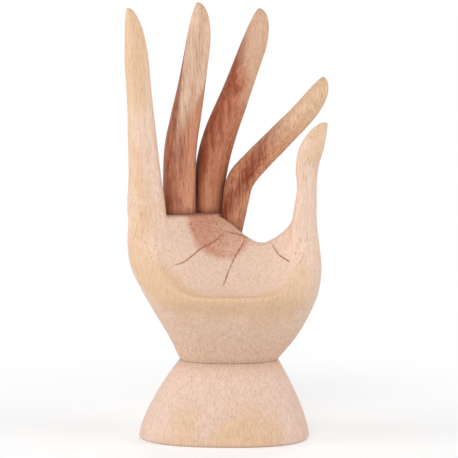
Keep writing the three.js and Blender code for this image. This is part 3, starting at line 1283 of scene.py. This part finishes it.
def carve_tree() -> Tree:
    """Makes the tree that carves the palm out of its forms.

    Each form becomes a signed distance. The cup and the web's gap are cut out of the hull with
    rounded lips, the thumb, the little finger and the knuckles are joined to it with fillets, and
    the seats of the inner fingers are cut sharp.

    Returns:
        The tree.
    """
    steps = ("Steps X", "Steps Y", "Steps Z")
    inputs = {"Object": FORMS, "Vector": ("Low", "High"), "Int": steps}
    g = GeometryGraph("palm_carving", inputs | {"Float": (*BLENDS, "Rim Height")})
    given = g.given
    here = g.out("GeometryNodeInputPosition")
    normal = g.out("GeometryNodeInputNormal")
    kind = {"data_type": "FLOAT_VECTOR"}

    def solid(form: str) -> Wire:
        """Gives a form's geometry."""
        return g.out("GeometryNodeObjectInfo", {"Object": given[form]}, "Geometry")

    def depth(form: str) -> Wire:
        """Measures how far a place is from a form's skin.

        Args:
            form: the form's name.

        Returns:
            The distance, less than nothing inside the form.
        """
        mesh = solid(form)
        near = g.add("GeometryNodeProximity", {0: mesh}, target_element="FACES").outputs
        store = {"Geometry": mesh, "Name": "outward", "Value": normal}
        marked = g.out("GeometryNodeStoreNamedAttribute", store, domain="POINT", **kind)
        reading = {"Mesh": marked, "Value": g.attribute("outward")}
        facing = g.out("GeometryNodeSampleNearestSurface", reading, **kind)
        side = g.vector("DOT_PRODUCT", here - Wire(g, near["Position"]), facing)
        return Wire(g, near["Distance"]) * g.math("SIGN", side)

    bowl = depth("Cup") * -1.0
    gap = depth("Web") * -1.0
    here_x, _, here_z = g.split(here)
    width = given["Bevel"] * g.ramp(here_x, BEVEL_FROM, BEVEL_TO)
    bevel = bowl * BEVEL_SLANT[0] + (gap + width) * BEVEL_SLANT[1]
    body = g.math("SMOOTH_MAX", depth("Hull"), bowl, given["Lip"])
    body = g.math("SMOOTH_MAX", body, gap, given["Rim"])
    body = g.math("SMOOTH_MAX", body, bevel, BEVEL_EASE)
    body = g.math("SMOOTH_MIN", body, depth("Knuckles"), given["Knuckle Fillet"])
    span = [given[name] for name in ("Fillet From", "Fillet To", "Fillet", "Edge Fillet")]
    below_rim = given["Rim Height"] - here_z
    fillet = g.ramp(g.math("ABSOLUTE", here_x), *span) * g.ramp(below_rim, *RIM_EASE)
    body = g.math("SMOOTH_MIN", body, depth("Little Finger"), fillet)
    body = g.math("SMOOTH_MIN", body, depth("Thumb"), given["Thumb Fillet"])

    box = {"Min": given["Low"], "Max": given["High"], "Background": OUTSIDE}
    box |= {f"Resolution {name[-1]}": given[name] for name in steps}
    volume = g.out("GeometryNodeVolumeCube", box | {"Density": body * -1.0})
    surface = {"Volume": volume, "Threshold": 0.0}
    skin = g.out("GeometryNodeVolumeToMesh", surface, resolution_mode="GRID")
    skin = g.out("GeometryNodeSubdivisionSurface", {"Mesh": skin, "Level": 1})
    inward = g.larger(g.smaller(body, STRIDE), -STRIDE) * -1.0
    for _ in range(PASSES):
        skin = g.moved(skin, Offset=normal * inward)
    pair = {"Mesh 1": skin, "Mesh 2": solid("Seats")}
    cut = g.out("GeometryNodeMeshBoolean", pair, operation="DIFFERENCE", solver="MANIFOLD")
    return g.finish(cut)


@dataclass
class Palm(Carved):
    """The cupped palm, in one piece with the thumb and the little finger.

    It is carved out of a box of voxels, from a little under the wrist joint, and its forms are
    lofted in steps. The cup's rows count its steps from the heel, below which its floor falls
    away. The web falls and drifts behind its depth.
    """

    pedestal: Pedestal
    node: str = "palm"
    wood: WoodFinish = PALM_WOOD
    slot: ClassVar[Slot] = Slot.PALE
    glue: float = 0.1
    heel: float = 37.0
    rim: float = 76.5
    bow: float = 2.4
    hull_sides: int = 120
    hull_steps: int = 60
    cup_left: float = 38.0
    cup_right: float = 44.0
    cup_wall: float = 20.8
    cup_bow: float = 2.5
    cup_middle: float = 2.0
    cup_back: float = 1.5
    cup_sweep: float = 0.52
    cup_side: int = 75
    cup_front: float = -120.0
    cup_least: float = 1.0
    cup_steps: int = 80
    cup_rows: tuple[int, int] = (-16, 121)
    cup_stride: int = 2
    cup_fall: float = 3.0
    web_depth: float = -4.0
    web_drift: float = 0.6
    web_fall: float = 0.3
    web_top: float = 60.0
    web_steps: int = 48
    web_rows: tuple[int, int, int] = (-60, 49, 4)
    clearance: float = 0.25
    knuckle_depth: float = 30.0
    box_low: tuple[float, float] = (-57.0, -42.0)
    box_high: Triple = (58.0, 26.0, 232.0)
    box_under: float = 3.0
    voxel: float = 1.5
    under: float = 4.0
    least: float = 0.002
    creases: Sequence[Crease] = PALM_LINES
    web_edge: Sequence[tuple[float, float]] = (
        (-2.5, 1.9),
        (4.5, -3.9),
        (12.0, -10.7),
        (20.0, -13.9),
        (29.5, -9.4),
        (36.0, -1.5),
        (39.0, 13.5),
    )

    @property
    def floor(self) -> float:
        """The height of the palm's lower face."""
        return self.pedestal.height + self.glue

    @property
    def top(self) -> float:
        """The height of the palm's rim."""
        return self.floor + self.rim

    def flanks(self, height: float) -> tuple[float, float, float, float, float]:
        """Gives the palm's reach at a height above the wrist joint.

        Args:
            height: the height.

        Returns:
            How far it reaches left, right, forward and back, and how far its edges curl forward.
        """
        wrist, shift = self.pedestal.wrist_width / 2, self.pedestal.wrist_shift
        depth = self.pedestal.wrist_depth / 2
        stations = [
            (0.0, wrist - shift, wrist + shift, depth, depth, 0.0),
            (12.5, 29.3, 38.6, 23.5, 18.6, 1.0),
            (25.5, 36.7, 45.7, 29.8, 20.2, 3.0),
            (self.heel, 43.0, 50.0, 34.5, 21.0, 5.0),
            (50.0, 49.0, 51.4, 32.0, 20.6, 7.0),
            (62.0, 50.7, 50.2, 26.0, 18.8, 8.5),
            (self.rim, 50.3, 48.2, 17.0, 15.6, 10.0),
        ]
        return tuple(smooth_value([(s[0], s[k]) for s in stations], height) for k in range(1, 6))

    def hull(self) -> Mesh:
        """Makes the palm's outer form, without its hollow.

        Returns:
            The closed mesh.
        """
        rings = []
        for i in range(-1, self.hull_steps + 1):
            height = self.rim * i / self.hull_steps if i >= 0 else -self.under
            left, right, front, back, curl = self.flanks(height)
            ring = []
            for k in range(self.hull_sides):
                share = math.cos(math.tau * k / self.hull_sides)
                reach = back if k <= self.hull_sides / 2 else -front
                x = (right - left) / 2 + (right + left) / 2 * share
                y = reach * bowed(share, self.bow) - curl * share**2
                ring.append(Vector((x, y, self.floor + height)))
            rings.append(ring)
        return loft(rings)

    def cup(self) -> Mesh:
        """Makes the space in front of the cup's floor, from below the heel to above the rim.

        Returns:
            The closed mesh.
        """
        front = self.flanks(self.heel)[2]
        side, ahead = self.cup_side, self.cup_front
        rings = []
        for i in range(*self.cup_rows):
            climb = i / self.cup_steps
            z = self.floor + (self.heel + (self.rim - self.heel) * climb)
            rise = climb**self.cup_sweep if climb > 0 else self.cup_fall * climb
            middle = (front + self.cup_back) * rise - front
            ring = [Vector((side, ahead, z)), Vector((-side, ahead, z))]
            for x in range(-side, side + 1, self.cup_stride):
                off = x - self.cup_middle
                across = max(off / self.cup_right, -off / self.cup_left)
                wall = self.cup_wall * across**self.cup_bow
                ring.append(Vector((x, max(middle - wall, ahead + self.cup_least), z)))
            rings.append(ring)
        return loft(rings)

    def web(self) -> Mesh:
        """Makes the gap above the web between the index finger and the thumb.

        Returns:
            The closed mesh.
        """
        left, right = self.web_edge[0][0], self.web_edge[-1][0]
        top = self.top + self.web_top
        rings = []
        for y in range(*self.web_rows):
            behind = max(0.0, y - self.web_depth)
            ring = []
            for k in range(self.web_steps + 1):
                x = left + (right - left) * k / self.web_steps
                z = self.top + smooth_value(self.web_edge, x) - self.web_fall * behind
                ring.append(Vector((x + self.web_drift * behind * k / self.web_steps, y, z)))
            ring += [Vector((ring[-1].x, y, top)), Vector((ring[0].x, y, top))]
            rings.append(ring)
        return loft(rings)

    def little_finger(self) -> Limb:
        """Shapes the little finger, measured from the left end of the palm's rim.

        Returns:
            The finger.
        """
        stations = [
            Station(14.3, -9, -32.5, 14, 22, 12),
            Station(10, -8, -0.5, 19.8, 23, 12),
            Station(8.5, -5.5, 23.5, 16.4, 17, 12),
            Station(6.1, -5, 61.5, 13.2, 13, 12),
            Station(4.6, -6.5, 83.5, 12.2, 11.5, 12),
            Station(3.3, -9.5, 109.5, 9.6, 9, 12),
        ]
        origin = Vector((-self.flanks(self.rim)[0], 0.0, self.top))
        return Limb(stations, origin, tip=27, pad=75, wobble=FINGER_WOBBLE, seed=4.0)

    def thumb(self) -> Limb:
        """Shapes the thumb, measured from the right end of the palm's rim.

        Returns:
            The thumb.
        """
        stations = [
            Station(-10.2, -11, -34.5, 14, 22, -14),
            Station(-6.1, -10, -1.5, 11.8, 18, -14),
            Station(-4.8, -10.5, 14.5, 9.8, 13.2, -14),
            Station(-4.6, -11.5, 27.5, 11.6, 12, -14),
            Station(-1.8, -13, 38.5, 12.2, 11, -14),
            Station(2.6, -15, 51, 9, 8, -14),
        ]
        origin = Vector((self.flanks(self.rim)[1], 0.0, self.top))
        return Limb(stations, origin, tip=20, pad=-75, wobble=FINGER_WOBBLE, seed=5.0)

    def fingers(self) -> list[InnerFinger]:
        """Gives the inner fingers in their seats on the rim."""
        return inner_fingers(self.top)

    def carve(self, material: Material) -> Mesh:
        """Carves the palm out of its forms.

        Args:
            material: the finish to wear.

        Returns:
            The mesh, which goes on a little below the wrist joint.
        """
        fingers = self.fingers()
        knuckles = [finger.knuckle(self.knuckle_depth) for finger in fingers]
        meshes = (
            self.hull(),
            self.cup(),
            self.web(),
            self.little_finger().mesh(),
            self.thumb().mesh(),
            merged(knuckle.mesh() for knuckle in knuckles),
            merged(finger.limb.mesh(grow=self.clearance) for finger in fingers),
        )
        holders = {}
        for form, mesh in zip(FORMS, meshes):
            mesh.shade_smooth()
            holders[form] = placed(form, mesh)
        low = Vector((*self.box_low, self.floor - self.under - self.box_under))
        high = Vector(self.box_high)
        spans = zip("XYZ", high - low)
        steps = {f"Steps {axis}": round(span / self.voxel) for axis, span in spans}
        box = {"Low": low, "High": high, "Rim Height": self.top, "Material": material}
        inputs = holders | BLENDS | steps | box
        mesh = run_tree(bpy.data.meshes.new("blank"), carve_tree(), inputs)
        for holder in holders.values():
            bpy.data.objects.remove(holder)
        return mesh

    def trim(self, mesh: Mesh) -> None:
        """Cuts the palm off flat at the wrist joint, and clears flat faces and spare points.

        Args:
            mesh: the carved palm.
        """
        with reworked(mesh) as form:
            plane = {"plane_co": (0, 0, self.floor), "plane_no": (0, 0, -1)}
            everything = form.verts[:] + form.edges[:] + form.faces[:]
            cut = bmesh.ops.bisect_plane(form, geom=everything, clear_outer=True, **plane)
            edges = [part for part in cut["geom_cut"] if isinstance(part, bmesh.types.BMEdge)]
            face = bmesh.ops.contextual_create(form, geom=edges)["faces"]
            for part in [*face, *edges]:
                part.smooth = False
            bmesh.ops.dissolve_degenerate(form, dist=self.least, edges=form.edges[:])
            spare = [vertex for vertex in form.verts if len(vertex.link_edges) == 2]
            bmesh.ops.dissolve_verts(form, verts=spare)
            bmesh.ops.recalc_face_normals(form, faces=form.faces)

    def form(self, material: Material) -> Mesh:
        """Makes the palm's mesh with its lines.

        Args:
            material: the finish to wear.

        Returns:
            The mesh, in millimetres.
        """
        mesh = self.carve(material)
        self.trim(mesh)
        score(mesh, self.creases)
        return mesh


def paint_contact_shade(pieces: Sequence[Object], reach: float = 5.0) -> None:
    """Paints shade where the pieces lie close together, standing in for the shadow between them.

    How near each vertex is to another piece goes into the vertex attribute that the finish reads
    as painted shade.

    Args:
        pieces: the pieces, in metres.
        reach: how far from another piece the painted shade reaches, in millimetres.
    """
    skins = []
    for piece in pieces:
        places = [vertex.co for vertex in piece.data.vertices]
        skins.append(BVHTree.FromPolygons(places, [p.vertices for p in piece.data.polygons]))
    far = reach * MM
    for piece, own in zip(pieces, skins):
        others = [skin for skin in skins if skin is not own]
        marks = []
        for vertex in piece.data.vertices:
            gaps = [skin.find_nearest(vertex.co, far)[3] for skin in others]
            marks.append(1 - min((gap for gap in gaps if gap is not None), default=far) / far)
        contact_shade = piece.data.attributes.new("contact_shade", "FLOAT", "POINT")
        contact_shade.data.foreach_set("value", marks)


# Dowels


@dataclass
class Dowels:
    """The plain dowels inside the glued joints, which keep their CAD shape."""

    nodes: Sequence[str] = (
        "wrist_dowel_left",
        "wrist_dowel_right",
        "ring_finger_dowel",
        "middle_finger_dowel",
        "index_finger_dowel",
    )

    def dress(self, material: Material) -> None:
        """Puts the dowels' finish on their nodes.

        Args:
            material: the finish.
        """
        for name in self.nodes:
            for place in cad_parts[name].material_slots:
                place.material = material
            log.info("%s: dressed", name)


# Studio


@dataclass(frozen=True)
class Lamp:
    """A square soft lamp that faces the hand: its place and its side in metres, and its watts."""

    name: str
    place: Triple
    power: float
    side: float = 0.8
    aim: Triple = (0.0, 0.0, 0.11)

    def hang(self) -> None:
        """Puts the lamp into the scene."""
        light = bpy.data.lights.new(self.name, "AREA")
        light.size = self.side
        light.energy = self.power
        lamp = placed(self.name, light)
        lamp.location = self.place
        ahead = Vector(self.aim) - Vector(self.place)
        lamp.rotation_euler = ahead.to_track_quat("-Z", "Y").to_euler()


@dataclass
class Studio:
    """The photograph's camera, a pale floor and soft light.

    The floor's lift is its own light near the hand; it is white to the camera from white_to on, in
    metres. The fill is the strength of the light all round.
    """

    eye: Triple = (2.64, -1300.0, 264.0)
    pitch: float = 6.70
    view: float = 10.577
    pale: Colour = (0.7, 0.7, 0.7, 1.0)
    lift: float = 0.36
    white_from: float = 0.12
    white_to: float = 0.3
    half: float = 3.0
    fill: float = 0.4
    lamps: Sequence[Lamp] = (
        Lamp("key", (-0.3, -1.3, 0.55), 7.4),
        Lamp("left", (-1.25, -0.3, 0.45), 8.2),
        Lamp("right", (1.25, -0.4, 0.45), 7.4),
        Lamp("back", (0.2, 1.3, 0.6), 6.0),
    )

    def camera(self) -> None:
        """Sets the camera at the photograph's angle."""
        lens = bpy.data.cameras.new("camera")
        lens.angle = math.radians(self.view)
        camera = placed("camera", lens)
        camera.location = Vector(self.eye) * MM
        camera.rotation_euler = (math.radians(90 - self.pitch), 0.0, 0.0)
        bpy.context.scene.camera = camera

    def shown(self, g: Graph, unseen: Wire, seen: Wire) -> Wire:
        """Shows one shader to the camera, also by way of gloss or glass, and one to other rays.

        Args:
            g: the tree of the floor or the world.
            unseen: the shader that lights the hand.
            seen: the shader that the camera sees.

        Returns:
            The two together.
        """
        rays = g.add("ShaderNodeLightPath").outputs
        gloss, glass = Wire(g, rays["Is Glossy Ray"]), Wire(g, rays["Is Transmission Ray"])
        direct = g.larger(Wire(g, rays["Is Camera Ray"]), g.larger(gloss, glass))
        return g.out("ShaderNodeMixShader", {0: direct, 1: unseen, 2: seen})

    def floor(self) -> None:
        """Lays a floor that is white to the camera and keeps the hand's shadow."""
        material = bpy.data.materials.new("pale_floor")
        g = ShaderGraph(material)
        matt = g.out("ShaderNodeBsdfDiffuse", {"Color": self.pale})
        lift = g.out("ShaderNodeEmission", {"Color": WHITE, "Strength": self.lift})
        white = g.out("ShaderNodeEmission", {"Color": WHITE, "Strength": 1.0})
        near = g.out("ShaderNodeAddShader", {0: matt, 1: lift})
        away = g.vector("LENGTH", g.out("ShaderNodeTexCoord", output="Object"))
        share = g.ramp(away, self.white_from, self.white_to)
        seen = g.out("ShaderNodeMixShader", {0: share, 1: near, 2: white})
        g.add("ShaderNodeOutputMaterial", {"Surface": self.shown(g, matt, seen)})
        mesh = bpy.data.meshes.new("floor")
        corners = [(-1, -1), (1, -1), (1, 1), (-1, 1)]
        places = [(x * self.half, y * self.half, 0) for x, y in corners]
        mesh.from_pydata(places, [], [(0, 1, 2, 3)])
        mesh.materials.append(material)
        placed("floor", mesh)

    def world(self) -> None:
        """Fills the studio with even light, white where the camera sees it."""
        world = bpy.data.worlds.new("studio")
        g = ShaderGraph(world)
        fill = g.out("ShaderNodeBackground", {"Color": WHITE, "Strength": self.fill})
        white = g.out("ShaderNodeBackground", {"Color": WHITE, "Strength": 1.0})
        g.add("ShaderNodeOutputWorld", {"Surface": self.shown(g, fill, white)})
        bpy.context.scene.world = world

    def build(self) -> None:
        """Sets up the studio."""
        self.camera()
        self.floor()
        self.world()
        for lamp in self.lamps:
            lamp.hang()
        bpy.context.scene.view_settings.view_transform = "Standard"


def main() -> None:
    """Builds the carving and its studio."""
    logging.basicConfig(level=logging.INFO, format="%(message)s")
    Studio().build()
    palm = Palm(Pedestal())
    pieces = [piece.build() for piece in (palm.pedestal, palm, *palm.fingers())]
    paint_contact_shade(pieces)
    Dowels().dress(DOWEL_WOOD.material())


if __name__ == "__main__":
    main()
